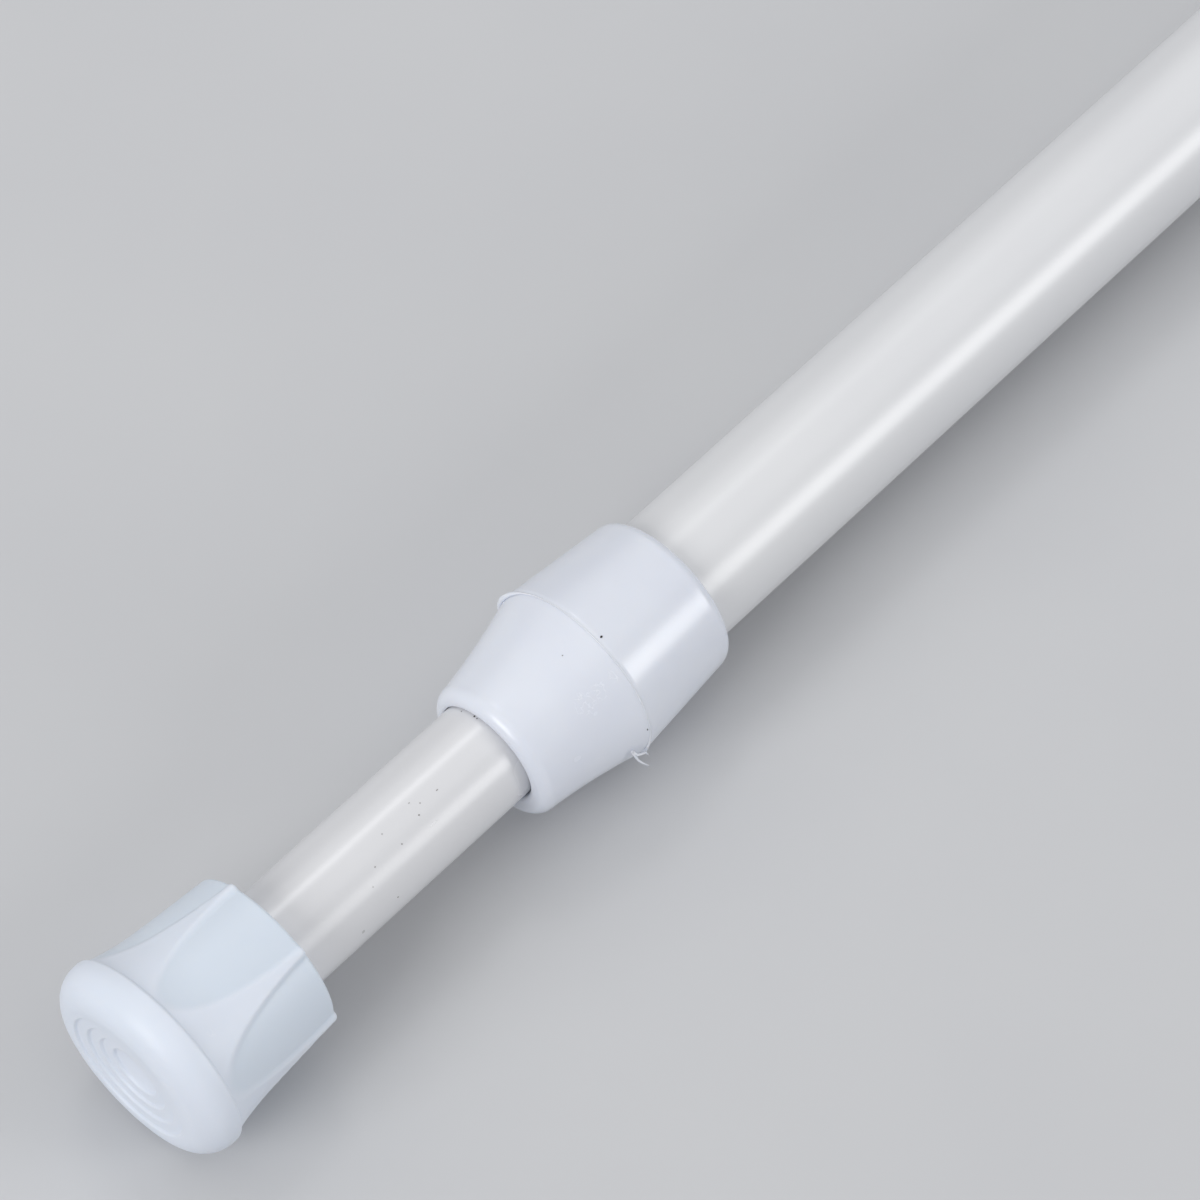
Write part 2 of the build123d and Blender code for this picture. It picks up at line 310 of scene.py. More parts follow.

# %% [markdown]
# ## Milky plastic for the collar and the caps
# The collar and the caps are moulded in a bluish white polythene that lets a little light in: thin edges
# glow and shadows inside them stay soft. A plain glossy white would look like porcelain. Subsurface
# scattering over about a millimetre gives the milkiness, and a slow noise gives the cloudy flow of the
# melt. The collar is glossier, and its cone is scuffed by the hand that twists it. The caps are softer
# and duller, with a faint scuff or two.
# The caps' petal floors are tinted cooler and darker: partly the thin wall's own tint, partly painted shade in the
# recesses.

# %% Where the plastic is scuffed
# Each scuff is the pixel of its middle, the piece it is on and how far it reaches, in millimetres.
collar_scuffs = [((584, 703), "collar", 1.3), ((600, 690), "collar", 1.1), ((613, 676), "collar", 0.8)]
cap_scuffs = [((211, 1034), "inner_end_cap", 0.7), ((79, 1004), "inner_end_cap", 0.5)]
print("scuffs:", len(collar_scuffs), "on the collar,", len(cap_scuffs), "on the cap")


# %% Moulded plastic
def moulded_plastic(name, white, cloud, thin_and_shaded, scuffs, gloss, shine, depth_of_light):
    """Milky plastic with cloudy colour, a moulded skin, scuffs, and petal floors painted cooler and darker: the
    thin wall's tint and painted shade.
    """
    plastic = Finish(
        name,
        Subsurface_Weight=0.3,
        Subsurface_Radius=(0.8, 0.9, 1.0),
        Subsurface_Scale=depth_of_light,
        Specular_IOR_Level=shine,
    )
    clouds = plastic.noise(130, detail=3)
    skin = plastic.noise(1300, detail=2)
    scrape_strength, scrape_width = 0.25, 0.035
    off_line = plastic.span(abs(plastic.noise(1700, detail=2) - 0.5), 0.0, scrape_width)
    scrapes = scrape_strength - off_line * scrape_strength
    wear = 0.0
    for pixel, node, reach in scuffs:
        apart = plastic.away_from(sighted(pixel, nodes[node])[0])
        wear = wear + scrapes * plastic.span(apart, reach * mm, 0.3 * reach * mm)
    # On the marked petal floors the colour turns cooler and darker: partly the thin wall's own tint, partly
    # painted shade in the recessed petals.
    thin_and_shaded_share = plastic.node("Attribute", {"attribute_name": "thin_wall_and_shade"}, output="Fac")
    tint = plastic.mix(plastic.span(clouds, 0.3, 0.7), white, cloud)
    tint_with_floor_shade = plastic.mix(thin_and_shaded_share, tint, thin_and_shaded)
    worn = plastic.mix(wear, tint_with_floor_shade, colour(246, 248, 252))
    return plastic.use(
        Base_Color=worn,
        Roughness=gloss + clouds * 0.06 + wear * 0.2,
        Normal=plastic.bump(skin + wear * 0.8, 0.008 * mm, 0.25),
    )


collar_plastic = moulded_plastic(
    "collar_plastic",
    white=colour(227, 231, 240),
    cloud=colour(224, 228, 238),
    thin_and_shaded=colour(224, 228, 238),
    scuffs=collar_scuffs,
    gloss=0.23,
    shine=0.7,
    depth_of_light=0.9 * mm,
)
cap_plastic = moulded_plastic(
    "cap_plastic",
    white=colour(226, 232, 243),
    cloud=colour(223, 230, 241),
    # Cooler and darker on the petal floors: the thin wall's tint with painted shade.
    thin_and_shaded=colour(217, 226, 237),
    scuffs=cap_scuffs,
    gloss=0.38,
    shine=0.45,
    depth_of_light=1.1 * mm,
)

# %% [markdown]
# ## What is hidden inside
# Pull the rod apart and the lock shows: nylon bushes, a grey core and cam, and a plated plunger with its
# spring. They are seen in the poses and in a cut model, so each gets a finish of its own. Nylon is
# creamy and waxy, the grey plastic has a fine sparked mould texture, and zinc plate is a metal with
# a patchy passivated colour. Drawn wire has die lines, which wind along it as rings of fine noise.

# %% Finishes of the lock and the spring
def bush_nylon():
    """Waxy natural nylon with a slow change of colour."""
    nylon = Finish("natural_nylon", Subsurface_Weight=0.25, Subsurface_Scale=0.8 * mm)
    clouds = nylon.noise(240, detail=3)
    skin = nylon.noise(3200, detail=1)
    cream = nylon.mix(clouds, colour(226, 221, 205), colour(213, 205, 184))
    return nylon.use(
        Base_Color=cream,
        Roughness=0.42 + clouds * 0.12,
        Normal=nylon.bump(skin, 0.01 * mm, 0.3),
    )


def lock_grey():
    """Grey plastic with a sparked mould texture and slightly polished high spots."""
    grey = Finish("lock_plastic", Specular_IOR_Level=0.45)
    spark = grey.noise(4200, detail=2)
    clouds = grey.noise(200)
    body = grey.mix(clouds, colour(172, 174, 177), colour(158, 161, 166))
    return grey.use(
        Base_Color=body,
        Roughness=0.6 - grey.span(spark, 0.5, 0.7) * 0.15,
        Normal=grey.bump(spark, 0.02 * mm, 0.5),
    )


def plated_steel(name, bright, dull, grain):
    """Zinc plated steel: a metal with patches of passivated colour and a fine directional grain."""
    steel = Finish(name)
    patches = steel.noise(320, detail=4)
    lines = steel.noise(1, detail=2, where=steel.stretched(grain))
    plate = steel.mix(steel.span(patches, 0.35, 0.7), bright, dull)
    return steel.use(
        Base_Color=plate,
        Metallic=1.0 - steel.span(patches, 0.62, 0.8) * 0.15,
        Roughness=0.26 + lines * 0.16 + patches * 0.08,
        Normal=steel.bump(lines, 0.004 * mm, 0.4),
    )


natural_nylon = bush_nylon()
lock_plastic = lock_grey()
plain_steel = plated_steel("plain_steel", colour(203, 204, 206), colour(186, 187, 184), (600, 5200, 5200))
spring_steel = plated_steel("spring_steel", colour(182, 183, 186), colour(160, 158, 152), (5200, 900, 900))

# %% Give each piece its finish
finishes = {
    "outer_paint": outer_paint,
    "inner_paint": inner_paint,
    "collar_plastic": collar_plastic,
    "cap_plastic": cap_plastic,
    "natural_nylon": natural_nylon,
    "lock_plastic": lock_plastic,
    "plain_steel": plain_steel,
    "spring_steel": spring_steel,
}
for part in frame["record"]["subparts"]:
    piece = nodes[part["node"]]
    piece.data.materials.clear()
    piece.data.materials.append(finishes[part["material_slot"]])

# %% [markdown]
# ## Round tubes
# Each tube is thin steel strip, rolled, welded and painted. The solids come with some forty flats round
# a tube, which is plenty for a drawing, but a band of shine breaks at every flat. A bevel or a smoother
# shade would not mend that, so each tube is laid again as rings of corners with many more sides. All
# later pieces are made of rings too, so the joining of rings and the last steps of a piece come first. The
# inner tube has two rolled crimps, which hold the bush and the spring's stop inside it. A level ring
# beside each edge and crimp keeps the shading of the long faces straight.

# %% Joining rings, and settling a piece in the scene
def bridge(mesh, rings, closed=False):
    """Join each ring of corners to the next with smooth faces; a ring of one corner is a pole."""
    following = rings[1:] + rings[:1] if closed else rings[1:]
    for first, second in zip(rings, following):
        sides = max(len(first), len(second))
        for step in range(sides):
            after = (step + 1) % sides
            if len(first) == 1:
                corners = (first[0], second[step], second[after])
            elif len(second) == 1:
                corners = (first[step], second[0], first[after])
            else:
                corners = (first[step], second[step], second[after], first[after])
            mesh.faces.new(corners).smooth = True


def settle(mesh, name, material):
    """Turn a drawn mesh into an object of one material in the scene."""
    bmesh.ops.recalc_face_normals(mesh, faces=mesh.faces)
    data = bpy.data.meshes.new(name)
    mesh.to_mesh(data)
    mesh.free()
    data.materials.append(material)
    piece = bpy.data.objects.new(name, data)
    scene.collection.objects.link(piece)
    print(name, "has", len(data.polygons), "faces")
    return piece


def ring(mesh, x, radius, columns, middle=(0, 0)):
    """A ring of corners about the rod, with its middle moved aside along Y and Z."""
    corners = []
    for column in range(columns):
        turn = 2 * math.pi * column / columns
        place = (x, middle[0] + radius * math.sin(turn), middle[1] + radius * math.cos(turn))
        corners.append(mesh.verts.new(place))
    return corners


print("ring helpers:", bridge.__name__, settle.__name__, ring.__name__)

# %% Lay the two tubes
tube_columns = 160
tube_wall = 0.5 * mm
crimp_width = 2.4 * mm
crimp_depth = 0.3 * mm
crimp_rows = 8
edge_round = 0.1 * mm


def lay_tube(name, node, radius, crimps, body, slot):
    """A round tube in place of a node, dipping inwards at each crimp."""
    low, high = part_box(node)
    stations = [(low.x + edge_round, 0.0), (low.x + 2 * edge_round, 0.0)]
    for middle in crimps:
        for row in range(-crimp_rows - 1, crimp_rows + 2):
            share = row / crimp_rows
            dip = crimp_depth * math.cos(min(abs(share), 1.0) * math.pi / 2) ** 2
            stations.append((middle + share * crimp_width / 2, dip))
    stations += [(high.x - 2 * edge_round, 0.0), (high.x - edge_round, 0.0)]
    mesh = bmesh.new()
    rings = [ring(mesh, low.x, radius - edge_round, tube_columns)]
    rings += [ring(mesh, x, radius - dip, tube_columns) for x, dip in stations]
    rings.append(ring(mesh, high.x, radius - edge_round, tube_columns))
    rings += [ring(mesh, x, radius - tube_wall - dip, tube_columns) for x, dip in reversed(stations)]
    bridge(mesh, rings, closed=True)
    tube = settle(mesh, name, finishes[slot])
    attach(tube, body)
    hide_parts(node)
    return tube


outer_radius = 6.5 * mm
inner_radius = 5.0 * mm
crimps = [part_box("inner_tube")[0].x + 6.0 * mm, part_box("spring")[1].x + 4.0 * mm]
lay_tube("round_outer_tube", "outer_tube", outer_radius, [], "outer", "outer_paint")
round_inner_tube = lay_tube("round_inner_tube", "inner_tube", inner_radius, crimps, "inner", "inner_paint")
print("crimps at", [round(x / mm, 1) for x in crimps], "mm")

# %% [markdown]
# ## The moulded caps
# Each cap is a soft moulding: a skirt with six shallow petals, a flange, and a stepped target of rings on
# the face that meets the wall. In the solids the petals are cut with a crisp wall, as a drawing has them.
# On the real cap every edge is rounded by the mould and by handling. A bevel on a cut solid breaks
# where the petal's wall runs out to nothing. So the skin is written as a radius that depends on height
# and angle, with each petal and ring eased in by a smooth step, and a fine grid is laid on it.

# %% Sizes of a cap, in millimetres above its wall face
cap_length = 16.3
cap_floor = 4.0
mouth_radius = 8.4
neck_radius = 8.77
neck_height = 8.4
crease_height = 3.7
flange_radius = 9.89
shoulder_round = 0.35
flange_round = 2.9
crease_radius = flange_radius - shoulder_round
land_radius = flange_radius - flange_round
petal_count = 6
petal_angle = math.radians(6)
petal_length = 12.2
petal_half_width = 3.85
petal_softness = 0.055
petal_edge_place = 1.066
petal_edge_rise = 0.03
depth_at_mouth = 0.37
depth_at_neck = 0.17
depth_at_tip = 0.03
widest_ring = 6.5
ring_spacing = 1.3
ring_edges = [widest_ring - ring_spacing * number for number in range(4)]
ring_step = 0.25
ring_softness = 0.22
dish_depth = 0.35
mouth_round = 0.3
mouth_chamfer = 0.4
inner_socket = 5.04
outer_socket = 6.54
print("cap:", petal_count, "petals and", len(ring_edges), "rings on a flange", 2 * flange_radius, "mm wide")


# %% The cap's skin as sums of smooth steps
def eased(value, low, high):
    """A smooth step from 0 at low to 1 at high."""
    share = min(1.0, max(0.0, (value - low) / (high - low)))
    return share * share * (3 - 2 * share)


def body_radius(height):
    """The skirt's radius between its ribs: straight to the neck, then flaring to the crease."""
    slope = (neck_radius - mouth_radius) / (cap_length - neck_height)
    straight = neck_radius + slope * (neck_height - height)
    flare = max(0.0, (neck_height - height) / (neck_height - crease_height))
    reach = crease_radius - neck_radius - slope * (neck_height - crease_height)
    return straight + reach * flare ** 2


def petal_distance(height, angle):
    """How far out a point lies in its petal's ellipse: 0 at the middle of the mouth, 1 on the edge."""
    spacing = 2 * math.pi / petal_count
    aside = (angle - petal_angle + spacing / 2) % spacing - spacing / 2
    across = body_radius(height) * math.sin(aside) / petal_half_width
    return math.hypot(across, (cap_length - height) / petal_length)


def petal_share(distance):
    """1 on a petal's floor, 0 on the ribs, eased over the wall between them."""
    return 1 - eased(distance, 1 - petal_softness, 1 + petal_softness)


def petal_edge(distance):
    """The faint raised edge that the mould leaves just outside a petal's wall."""
    return petal_edge_rise * math.exp(-((distance - petal_edge_place) / petal_softness) ** 2)


def petal_depth(height):
    """The petal floor's depth below the ribs: deepest at the mouth, almost none at the tip."""
    if height > neck_height:
        above = (height - neck_height) / (cap_length - neck_height)
        return depth_at_neck + (depth_at_mouth - depth_at_neck) * above
    above = max(0.0, (height - crease_height) / (neck_height - crease_height))
    return depth_at_tip + (depth_at_neck - depth_at_tip) * above


def face_sink(radius):
    """How far the wall face is sunk at a radius: a step in at each ring, and a shallow dish."""
    steps = sum(ring_step * (1 - eased(radius, edge - ring_softness, edge)) for edge in ring_edges)
    return steps + dish_depth * max(0.0, 1 - (radius / ring_edges[-1]) ** 2)


print("petal floor at the mouth:", round(body_radius(cap_length) - petal_depth(cap_length), 2), "mm radius")

# %% Rows of the grid: socket, mouth, skirt, flange and face
def cap_rows(socket_radius):
    """Rows of (height, radius, whether petals mark it), from the socket's floor round to the face."""
    rows = [(cap_floor, 0.0, False), (cap_floor, socket_radius, False)]
    rows.append((cap_length - mouth_chamfer, socket_radius, False))
    rows.append((cap_length, socket_radius + mouth_chamfer, False))
    mouth_rows = 6
    for step in range(mouth_rows + 1):
        turn = math.pi / 2 * step / mouth_rows
        height = cap_length - mouth_round * (1 - math.cos(turn))
        rows.append((height, body_radius(height) - mouth_round * (1 - math.sin(turn)), True))
    skirt_rows = 90
    skirt_top = cap_length - mouth_round
    for step in range(1, skirt_rows + 1):
        height = skirt_top + (crease_height - skirt_top) * step / skirt_rows
        rows.append((height, body_radius(height), True))
    shoulder_rows = 6
    for step in range(1, shoulder_rows + 1):
        turn = math.pi / 2 * step / shoulder_rows
        across = crease_radius + shoulder_round * math.sin(turn)
        rows.append((crease_height - shoulder_round * (1 - math.cos(turn)), across, False))
    round_rows = 24
    for step in range(round_rows):
        turn = math.pi / 2 * step / round_rows
        height = flange_round * (1 - math.sin(turn))
        rows.append((height, land_radius + flange_round * math.cos(turn), False))
    face_rows = 84
    for step in range(face_rows):
        radius = land_radius * (1 - step / face_rows)
        rows.append((face_sink(radius), radius, False))
    return rows


print("cap grid:", len(cap_rows(inner_socket)), "rows")


# %% Lay the grid
cap_columns = 240


def mould_cap(name, face_x, heading, socket_radius, body, node):
    """Build one cap about the rod, its face at face_x and its mouth along heading, in place of a node."""
    mesh = bmesh.new()
    # Each corner keeps its share of a petal floor, where the plastic gets its thin-wall tint and painted shade.
    thin_and_shaded = mesh.verts.layers.float.new("thin_wall_and_shade")
    rings = []
    for height, radius, has_petals in cap_rows(socket_radius):
        corners = []
        for column in range(cap_columns if radius else 1):
            angle = 2 * math.pi * column / cap_columns
            distance = petal_distance(height, angle) if has_petals else math.inf
            share = petal_share(distance)
            reach = (radius - share * petal_depth(height) + petal_edge(distance)) * mm
            place = (face_x + heading * height * mm, reach * math.sin(angle), reach * math.cos(angle))
            corner = mesh.verts.new(place)
            corner[thin_and_shaded] = share
            corners.append(corner)
        rings.append(corners)
    middle = mesh.verts.new((face_x + heading * face_sink(0.0) * mm, 0, 0))
    rings.append([middle])
    bridge(mesh, rings)
    cap = settle(mesh, name, cap_plastic)
    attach(cap, body)
    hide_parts(node)


inner_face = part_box("inner_end_cap")[1].x
outer_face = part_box("outer_end_cap")[0].x
mould_cap("inner_cap", inner_face, -1, inner_socket, "inner", "inner_end_cap")
mould_cap("outer_cap", outer_face, 1, outer_socket, "outer", "outer_end_cap")

# %% [markdown]
# ## The collar's skin
# The collar was moulded in two halves that met at its widest edge, and it sits a little to one side of
# the rod. The solid draws it as a socket, a lip and a cone, each turned about a line of its own. On the
# real collar the socket half sits aside as a whole, and the slightly hollow cone drifts further aside
# towards its nose. A cone that drifts can't be turned, so a grid of rings is laid whose middles move
# aside along the collar. It ends in a soft round nose, and the bore's mouth flares to one side, where
# a dark gap shows beside the inner tube.

# %% Sizes of the collar, in millimetres from its back edge
collar_length = 22.6
socket_length = 11.5
socket_bore = 6.54
bore_chamfer = 0.3
rim_height = 1.1
rim_inset = 0.75
rim_radius = 8.06
lip_radius = 9.0
lip_edge = 0.05
cone_radius = 8.92
cone_edge = 0.2
cone_hollow = 0.18
throat_height = 21.3
throat_radius = 6.94
nose_radius = 5.9
lean_angle = math.radians(-22)
socket_aside = 0.15
cone_aside = 0.19
nose_aside = 0.45
slide_bore = 5.08
slide_bore_aside = 0.02
flare_radius = 5.4
flare_depth = 0.6
flare_aside = 0.35
flare_angle = math.radians(10)
print("collar:", collar_length, "mm long, its nose", nose_aside, "mm off the rod's axis")


# %% Rings of the collar: place along it, radius, and the middle's place in Y and Z
def aside(distance, angle):
    """A middle that lies off the rod's axis."""
    return (distance * math.cos(angle), distance * math.sin(angle))


def socket_rings():
    """From the back edge's bore, round the rim and along the socket to its lip."""
    rings = [(bore_chamfer, socket_bore, (0, 0)), (0, socket_bore + bore_chamfer, (0, 0))]
    lean = aside(socket_aside, lean_angle)
    rim_steps = 8
    for step in range(rim_steps + 1):
        turn = math.pi / 2 * step / rim_steps
        radius = rim_radius - rim_inset * (1 - math.sin(turn))
        rings.append((rim_height * (1 - math.cos(turn)), radius, lean))
    socket_steps = 24
    for step in range(1, socket_steps + 1):
        share = step / socket_steps
        along = rim_height + (socket_length - lip_edge - rim_height) * share
        rings.append((along, rim_radius + (lip_radius - rim_radius) * share, lean))
    return rings


def cone_rings():
    """A slightly hollow cone, a soft nose, a flare, and the bore that the inner tube slides in."""
    rings = [(socket_length, cone_radius, aside(cone_aside, lean_angle))]
    cone_start = socket_length + cone_edge
    cone_steps = 36
    for step in range(cone_steps + 1):
        share = step / cone_steps
        along = cone_start + (throat_height - cone_start) * share
        hollow = 4 * cone_hollow * share * (1 - share)
        radius = cone_radius + (throat_radius - cone_radius) * share - hollow
        off = cone_aside + (nose_aside - cone_aside) * share
        rings.append((along, radius, aside(off, lean_angle)))
    nose_steps = 12
    for step in range(1, nose_steps + 1):
        turn = math.pi / 2 * step / nose_steps
        along = throat_height + (collar_length - throat_height) * math.sin(turn)
        radius = nose_radius + (throat_radius - nose_radius) * math.cos(turn)
        rings.append((along, radius, aside(nose_aside, lean_angle)))
    flare_steps = 8
    for step in range(flare_steps + 1):
        turn = math.pi / 2 * step / flare_steps
        along = collar_length - flare_depth * (1 - math.cos(turn))
        share = math.sin(turn)
        radius = flare_radius + (slide_bore - flare_radius) * share
        off = flare_aside + (slide_bore_aside - flare_aside) * share
        rings.append((along, radius, aside(off, flare_angle)))
    rings.append((socket_length, slide_bore, aside(slide_bore_aside, flare_angle)))
    rings.append((socket_length, socket_bore, (0, 0)))
    return rings


print("collar rings:", len(socket_rings()), "on the socket,", len(cone_rings()), "on the cone")

# %% Lay the collar's grid
collar_columns = 216
skin = bmesh.new()
skin_rings = []
for along, radius, (y, z) in socket_rings() + cone_rings():
    skin_rings.append(ring(skin, collar_back + along * mm, radius * mm, collar_columns, (y * mm, z * mm)))
bridge(skin, skin_rings, closed=True)
collar_skin = settle(skin, "collar_skin", collar_plastic)
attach(collar_skin, "outer")
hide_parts("collar")
bpy.context.view_layer.update()

# %% [markdown]
# ## The wound spring
# The spring that presses the two caps against the walls is wound from round wire, with its end coils
# drawn close so that they sit square on the washer and the stop. The CAD spring is an even helix of
# plain-sided wire. Here the same number of turns is swept as a round tube, ring by ring, with the pitch
# eased off at both ends. The share of its length that it keeps when the joint presses it is worked out.

# %% Sweeping a round section
def sweep(mesh, path, outward, radius, sides, closed=False):
    """Sweep a round section along a path.

    outward gives a direction away from the path at a point, and radius the section's size at a share.
    """
    rings = []
    last = len(path) - 1
    for number, centre in enumerate(path):
        after = path[(number + 1) % len(path)] if closed else path[min(number + 1, last)]
        before = path[number - 1] if closed else path[max(number - 1, 0)]
        ahead = (after - before).normalized()
        side = ahead.cross(outward(centre)).normalized()
        up = side.cross(ahead)
        size = radius(number / last)
        corners = []
        for step in range(sides):
            turn = 2 * math.pi * step / sides
            corners.append(mesh.verts.new(centre + size * (math.cos(turn) * up + math.sin(turn) * side)))
        rings.append(corners)
    bridge(mesh, rings, closed)
    if not closed:
        mesh.faces.new(list(reversed(rings[0])))
        mesh.faces.new(rings[-1])


def from_axis(point):
    """The direction from the rod's axis to a point."""
    return Vector((0, point.y, point.z)).normalized()


print("sweeps turn with:", from_axis.__name__)

# %% Wind the spring
spring_low, spring_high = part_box("spring")
press = next(j for j in frame["joints"] if j["name"] == "spring_press")
spring_length = spring_high.x - spring_low.x
wire_radius = 0.5 * mm
coil_radius = spring_high.z - wire_radius
coil_turns = 8
end_closing = 0.75
rings_per_turn = 40
wire_sides = 12


def coil_point(share):
    """A point on the spring's centre line, from 0 at the washer to 1 at the stop."""
    turn = 2 * math.pi * coil_turns * share
    advance = share - end_closing * math.sin(2 * math.pi * share) / (2 * math.pi)
    x = spring_low.x + wire_radius + advance * (spring_length - 2 * wire_radius)
    return Vector((x, coil_radius * math.cos(turn), coil_radius * math.sin(turn)))


coil = bmesh.new()
coil_rings = coil_turns * rings_per_turn
coil_path = [coil_point(number / coil_rings) for number in range(coil_rings + 1)]
sweep(coil, coil_path, from_axis, lambda share: wire_radius, wire_sides)
wound_spring = settle(coil, "wound_spring", spring_steel)
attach(wound_spring, "core")
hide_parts("spring")
spring_keep = 1 - press["range_m"][1] / spring_length
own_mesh(wound_spring)
print("spring:", len(wound_spring.data.polygons), "faces, keeps", round(spring_keep, 3), "of its length")

# %% [markdown]
# ## The flash on the collar
# The collar's two mould halves met at its widest edge, a little out of line, and some plastic crept
# between them. It stands as a hair-thin bead along that edge, which shines as a fine bright line. At two
# places it widens into a small fin, and at one it has torn into a forked whisker. The bead catches the
# light by itself from every side, and its plastic is also a little whiter than the collar's, a painted
# highlight on the bead and the whisker. It is swept round the edge's own circle, with a thickness that
# wanders and swells at the fins.

# %% The flash's plastic
# A little whiter than the collar's plastic: a painted highlight for the bright parting line and the whisker.
highlit_flash_plastic = moulded_plastic(
    "highlit_flash_plastic",
    white=colour(232, 236, 245),
    cloud=colour(228, 231, 240),
    thin_and_shaded=colour(232, 236, 245),
    scuffs=[],
    gloss=0.22,
    shine=0.8,
    depth_of_light=0.3 * mm,
)

# %% The fins
# Each fin is its place round the collar, how far it spreads and how much wider the flash is there.
flash_fins = [
    (math.radians(-68), math.radians(21), 0.29 * mm),
    (math.radians(112), math.radians(16), 0.2 * mm),
]
# How far a fin leads along the rod, lifts off the edge and swells, as shares of its width.
fin_lead = 1.1
fin_lift = 0.3
fin_swell = 0.7


def fin_width(turn):
    """How much wider the flash is at a place round the collar."""
    width = 0.0
    for middle, spread, widest in flash_fins:
        apart = (turn - middle + math.pi) % (2 * math.pi) - math.pi
        width += widest * math.exp(-(apart / spread) ** 2)
    return width


print("fins:", len(flash_fins), "up to", round(max(fin[2] for fin in flash_fins) / mm, 2), "mm wider")

# %% The bead
along_rod = Vector((1, 0, 0))
lip_y, lip_z = aside(socket_aside, lean_angle)
lip_middle = Vector((collar_back + socket_length * mm, lip_y * mm, lip_z * mm))
bead_steps = 360
bead_sink = 0.03
bead_radius = (lip_radius - bead_sink) * mm
bead_half = 0.055 * mm
bead_wander = 0.004 * mm
wave_count, slowest_wave, fastest_wave = 5, 3, 17
flash_sides = 8
bead_path = []
for step in range(bead_steps):
    turn = 2 * math.pi * step / bead_steps
    reach = bead_radius + fin_lift * fin_width(turn)
    rim_point = lip_middle + reach * Vector((0, math.sin(turn), math.cos(turn)))
    bead_path.append(rim_point + fin_lead * fin_width(turn) * along_rod)
random.seed(5)
bead_waves = []
for _ in range(wave_count):
    bead_waves.append((random.randint(slowest_wave, fastest_wave), random.uniform(0, 2 * math.pi)))


def bead_size(share):
    """The bead's half thickness, which wanders slowly round the collar and swells at a fin."""
    turn = 2 * math.pi * share
    wander = sum(math.sin(turn * waves + start) for waves, start in bead_waves)
    return bead_half + bead_wander * wander + fin_swell * fin_width(turn)


bead = bmesh.new()
sweep(bead, bead_path, from_axis, bead_size, flash_sides, closed=True)
parting_bead = settle(bead, "parting_bead", highlit_flash_plastic)

# %% The whisker
# The pixels of its foot on the collar and of the places that its two branches pass.
whisker_foot = (630, 749)
whisker_branches = [
    [(632, 751.5), (637, 755), (642, 754), (645.5, 752.5), (648, 754.5)],
    [(632, 751.5), (635, 756), (638, 760), (641.5, 762.5), (648.5, 765.5)],
]
whisker_droop = 2.8 * mm
whisker_half = 0.13 * mm
whisker_taper = 0.04 * mm
whisker_root = sighted(whisker_foot, collar_skin)[0]


def whisker_size(share):
    """The whisker's half thickness, which thins towards its tip."""
    return whisker_half - whisker_taper * share


whisker = bmesh.new()
for branch in whisker_branches:
    droops = [whisker_droop * number / (len(branch) - 1) for number in range(len(branch))]
    whisker_path = [beside(pixel, whisker_root, droop) for pixel, droop in zip(branch, droops)]
    sweep(whisker, whisker_path, lambda point: toward_camera, whisker_size, flash_sides)
flash_whisker = settle(whisker, "flash_whisker", highlit_flash_plastic)
for piece in (parting_bead, flash_whisker):
    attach(piece, "outer")

# %% [markdown]
# ## Specks and crumbs
# Dust got into the paint and some dirt sits on the collar. Each speck is a tiny irregular flake, flatter
# than it is wide, set on the surface at the place that the photograph shows and turned with the normal.
# All flakes of one tone on one moving piece make one mesh, so they slide with the tube that carries them.

# %% The finish and the form of flakes
flake_sides = 8
flake_sink = 0.02 * mm
flake_rise = 0.04 * mm
flake_narrowing = 0.7
shortest_reach = 0.7


def speck_finish(name, tone, shade):
    """Matt dirt with a little change of tone."""
    dirt = Finish(name, Specular_IOR_Level=0.3)
    grain = dirt.noise(6000)
    return dirt.use(Base_Color=dirt.mix(grain, tone, shade), Roughness=0.7 + grain * 0.2)


def flakes(name, carrier, body, marks, material):
    """Set a flake at each marked pixel: its length along the rod and its width, in millimetres."""
    mesh = bmesh.new()
    for pixel, length, width in marks:
        place, normal = sighted(pixel, carrier)
        lengthwise = (along_rod - along_rod.dot(normal) * normal).normalized()
        crosswise = normal.cross(lengthwise)
        lower, upper = [], []
        for step in range(flake_sides):
            turn = 2 * math.pi * step / flake_sides
            reach = random.uniform(shortest_reach, 1.0) * mm / 2
            spread = reach * (length * math.cos(turn) * lengthwise + width * math.sin(turn) * crosswise)
            lower.append(mesh.verts.new(place + spread - flake_sink * normal))
            upper.append(mesh.verts.new(place + flake_narrowing * spread + flake_rise * normal))
        bridge(mesh, [lower, upper])
        mesh.faces.new(upper)
        mesh.faces.new(list(reversed(lower)))
    piece = settle(mesh, name, material)
    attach(piece, body)


print("flakes:", flake_sides, "sides,", round((flake_sink + flake_rise) / mm, 2), "mm thick")

# %% Where the flakes are
# Each mark is the pixel of its middle, its length along the rod and its width, in millimetres.
collar_specks = [((601.4, 636.7), 0.36, 0.27), ((647.5, 729.6), 0.14, 0.34)]
collar_grit = [((562.5, 655.5), 0.18, 0.14)]
tube_crumbs = [((474.4, 716.4), 0.24, 0.18), ((477, 718.6), 0.15, 0.14), ((461.5, 711.5), 0.12, 0.12)]
tube_grit = [
    ((419, 815), 0.22, 0.2), ((402, 844), 0.16, 0.2), ((398, 897), 0.2, 0.14),
    ((420, 803), 0.12, 0.16), ((409, 803), 0.2, 0.1), ((437, 790), 0.3, 0.12),
    ((382, 834), 0.12, 0.16), ((375, 867), 0.18, 0.14), ((373, 887), 0.12, 0.12),
]
tube_chips = [((435, 822), 0.6, 0.16), ((431, 826), 0.3, 0.14)]
print("marks:", len(collar_specks + collar_grit), "on the collar,",
      len(tube_crumbs + tube_grit + tube_chips), "on the inner tube")

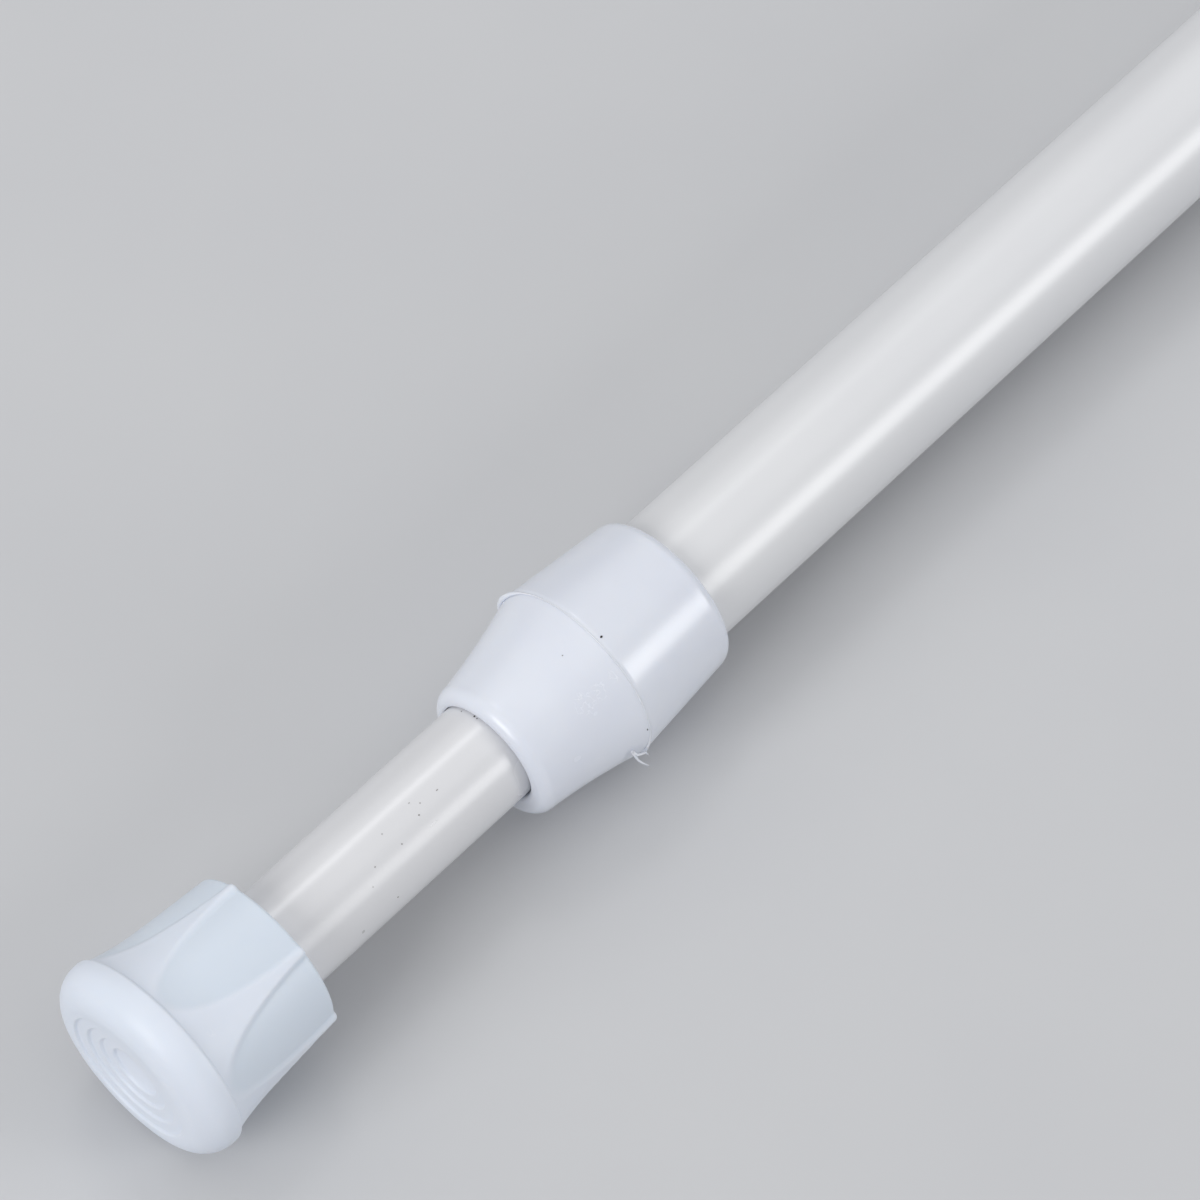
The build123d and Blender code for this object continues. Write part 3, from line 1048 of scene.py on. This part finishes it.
# %% Specks on the collar, and crumbs, grit and chips on the inner tube
dark_dirt = speck_finish("dark_dirt", colour(62, 60, 58), colour(34, 33, 33))
paint_grit = speck_finish("paint_grit", colour(158, 156, 152), colour(128, 126, 123))
pale_paint = speck_finish("pale_paint", colour(240, 241, 242), colour(232, 233, 235))
flakes("collar_specks", collar_skin, "outer", collar_specks, dark_dirt)
flakes("collar_grit", collar_skin, "outer", collar_grit, paint_grit)
flakes("tube_crumbs", round_inner_tube, "inner", tube_crumbs, dark_dirt)
flakes("tube_grit", round_inner_tube, "inner", tube_grit, paint_grit)
flakes("tube_chips", round_inner_tube, "inner", tube_chips, pale_paint)

# %% [markdown]
# ## Floor and light
# The rod lies on a plain pale floor, which its two flanges touch. In the photograph a soft box low on the
# right draws a broad band of shine along each tube, and a smaller one on the left draws a thin line. Each
# of these two stands where the tubes mirror it towards the camera. They are short along the rod, so that
# the cone, whose sides face further forward, mirrors neither. A box in front lights the cap's face, and
# a wide dim one above, with an even room light, keeps the shaded sides open.

# %% Floor
def floor_finish():
    """Pale matt board with a faint mottle."""
    board = Finish("pale_board", Roughness=0.9, Specular_IOR_Level=0.2)
    mottle = board.noise(40, detail=3)
    return board.use(Base_Color=board.mix(mottle, colour(203, 204, 206), colour(198, 199, 202)))


floor_reach = 9.0
floor_data = bpy.data.meshes.new("floor")
quarters = [(-1, -1), (1, -1), (1, 1), (-1, 1)]
floor_corners = [(x * floor_reach, y * floor_reach, cad_low.z) for x, y in quarters]
floor_data.from_pydata(floor_corners, [], [(0, 1, 2, 3)])
floor_data.materials.append(floor_finish())
floor = bpy.data.objects.new("floor", floor_data)
scene.collection.objects.link(floor)
print("floor at", round(cad_low.z / mm, 2), "mm")

# %% Lamps and room light
def soft_box(name, toward, distance, along, across, power):
    """A rectangular lamp that faces the picture's middle, with one side turned along the rod."""
    lamp = bpy.data.lights.new(name, "AREA")
    lamp.shape = "RECTANGLE"
    lamp.size = along
    lamp.size_y = across
    lamp.energy = power
    holder = bpy.data.objects.new(name, lamp)
    away = Vector(toward).normalized()
    long_side = (along_rod - along_rod.dot(away) * away).normalized()
    turn = Matrix((long_side, away.cross(long_side), away)).transposed()
    holder.location = aim + away * distance
    holder.rotation_mode = "QUATERNION"
    holder.rotation_quaternion = turn.to_quaternion()
    scene.collection.objects.link(holder)
    print("lamp:", name, power, "W")


# Directions are from the rod, distances and sides in metres, powers in watts.
soft_box("right_box", toward=(-0.52, 0.838, 0.393), distance=2.4, along=0.9, across=0.9, power=13.8)
soft_box("left_box", toward=(-0.27, -0.384, 0.842), distance=2.2, along=0.5, across=0.4, power=2.7)
soft_box("front_box", toward=(0.85, -0.05, 0.55), distance=2.5, along=1.4, across=1.4, power=29.0)
soft_box("top_box", toward=(-0.1, -0.25, 1.0), distance=2.8, along=5.2, across=5.2, power=44.0)

room_light = 0.35
scene.world = bpy.data.worlds.new("room")
scene.world.use_nodes = True
background = next(n for n in scene.world.node_tree.nodes if n.type == "BACKGROUND")
background.inputs["Color"].default_value = colour(252, 253, 255)
background.inputs["Strength"].default_value = room_light
print("room light", room_light)

# %% [markdown]
